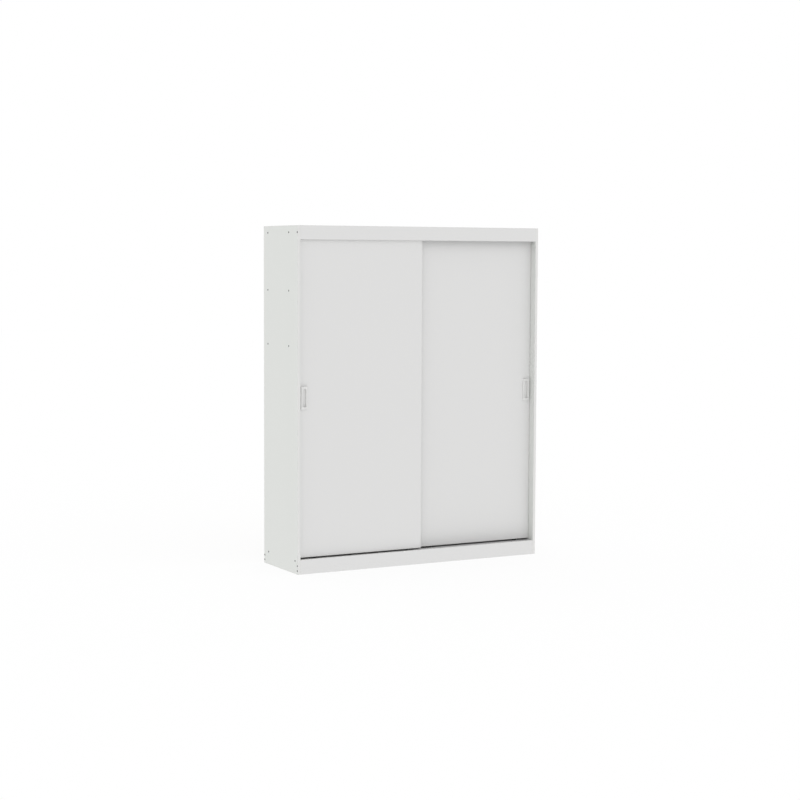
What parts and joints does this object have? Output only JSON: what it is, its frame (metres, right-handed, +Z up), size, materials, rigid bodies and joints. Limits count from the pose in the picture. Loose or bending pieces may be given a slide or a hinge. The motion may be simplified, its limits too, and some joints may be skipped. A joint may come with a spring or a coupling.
{
  "type": "sliding door cabinet",
  "caption": "Tall white board cupboard with a pair of sliding doors that pass each other, flush pulls, a header fascia, a plinth, shelves and hanging rails behind the doors.",
  "frame": {"origin": "on the floor, in the middle of the width and of the depth", "axes": "+X to the right seen from the front, +Y to the back, +Z up"},
  "size_m": [1.479, 0.431, 1.83],
  "materials": {
    "white_melamine": "white melamine facing with a fine satin texture",
    "hardboard": "brown pressed fibre behind, white lacquer inside",
    "beech": "bare fluted dowel",
    "white_plastic": "moulded, satin",
    "black_plastic": "moulded, matt",
    "grey_plastic": "extruded, matt",
    "nylon": "natural nylon",
    "zinc_steel": "zinc plated",
    "black_steel": "black phosphated",
    "chrome": "polished",
    "aluminium": "anodised extrusion"
  },
  "bodies": {
    "carcass": {"back_nails": "zinc_steel", "base_panel": "white_melamine", "centre_divider": "white_melamine", "divider_dowels": "beech", "divider_screws": "black_steel", "fascia_dowels": "beech", "front_bottom_track": "grey_plastic", "front_plinth": "white_melamine", "header_fascia": "white_melamine", "left_back_sheet": "hardboard", "left_hanging_rail": "chrome", "left_lower_shelf": "white_melamine", "left_rail_front_hanger": "chrome", "left_rail_rear_hanger": "chrome", "left_side_panel": "white_melamine", "left_side_screws": "black_steel", "left_upper_shelf": "white_melamine", "plinth_brace": "white_melamine", "plinth_dowels": "beech", "rail_hanger_screws": "zinc_steel", "rear_bottom_track": "grey_plastic", "rear_plinth": "white_melamine", "right_back_sheet": "hardboard", "right_hanging_rail": "chrome", "right_lower_shelf": "white_melamine", "right_rail_front_hanger": "chrome", "right_rail_rear_hanger": "chrome", "right_side_panel": "white_melamine", "right_side_screws": "black_steel", "right_upper_shelf": "white_melamine", "shelf_dowels": "beech", "top_panel": "white_melamine", "top_track": "aluminium", "top_track_screws": "zinc_steel"},
    "left_door": {"left_door_left_axle": "zinc_steel", "left_door_left_roller_housing": "black_plastic", "left_door_left_top_guide": "nylon", "left_door_panel": "white_melamine", "left_door_right_axle": "zinc_steel", "left_door_right_roller_housing": "black_plastic", "left_door_right_top_guide": "nylon", "left_door_screws": "zinc_steel", "left_flush_pull": "white_plastic"},
    "right_door": {"right_door_left_axle": "zinc_steel", "right_door_left_roller_housing": "black_plastic", "right_door_left_top_guide": "nylon", "right_door_panel": "white_melamine", "right_door_right_axle": "zinc_steel", "right_door_right_roller_housing": "black_plastic", "right_door_right_top_guide": "nylon", "right_door_screws": "zinc_steel", "right_flush_pull": "white_plastic"},
    "left_door_left_wheel": {"left_door_left_wheel": "black_plastic"},
    "left_door_right_wheel": {"left_door_right_wheel": "black_plastic"},
    "right_door_left_wheel": {"right_door_left_wheel": "black_plastic"},
    "right_door_right_wheel": {"right_door_right_wheel": "black_plastic"}
  },
  "joints": [
    {"name": "left_door_slide", "type": "slide", "parent": "carcass", "child": "left_door", "axis": [1, 0, 0], "range_m": [0, 0.7135]},
    {"name": "right_door_slide", "type": "slide", "parent": "carcass", "child": "right_door", "axis": [1, 0, 0], "range_m": [-0.7135, 0]},
    {"name": "left_door_left_wheel_spin", "type": "hinge", "parent": "left_door", "child": "left_door_left_wheel", "pos_m": [-0.6335, -0.19, 0.0893], "axis": [0, 1, 0], "continuous": true},
    {"name": "left_door_right_wheel_spin", "type": "hinge", "parent": "left_door", "child": "left_door_right_wheel", "pos_m": [-0.08, -0.19, 0.0893], "axis": [0, 1, 0], "continuous": true},
    {"name": "right_door_left_wheel_spin", "type": "hinge", "parent": "right_door", "child": "right_door_left_wheel", "pos_m": [0.08, -0.161, 0.0893], "axis": [0, 1, 0], "continuous": true},
    {"name": "right_door_right_wheel_spin", "type": "hinge", "parent": "right_door", "child": "right_door_right_wheel", "pos_m": [0.6335, -0.161, 0.0893], "axis": [0, 1, 0], "continuous": true}
  ],
  "couplings": [
    {"joint": "left_door_left_wheel_spin", "follows": "left_door_slide", "rad_per_m": 62.5},
    {"joint": "left_door_right_wheel_spin", "follows": "left_door_slide", "rad_per_m": 62.5},
    {"joint": "right_door_left_wheel_spin", "follows": "right_door_slide", "rad_per_m": 62.5},
    {"joint": "right_door_right_wheel_spin", "follows": "right_door_slide", "rad_per_m": 62.5}
  ]
}
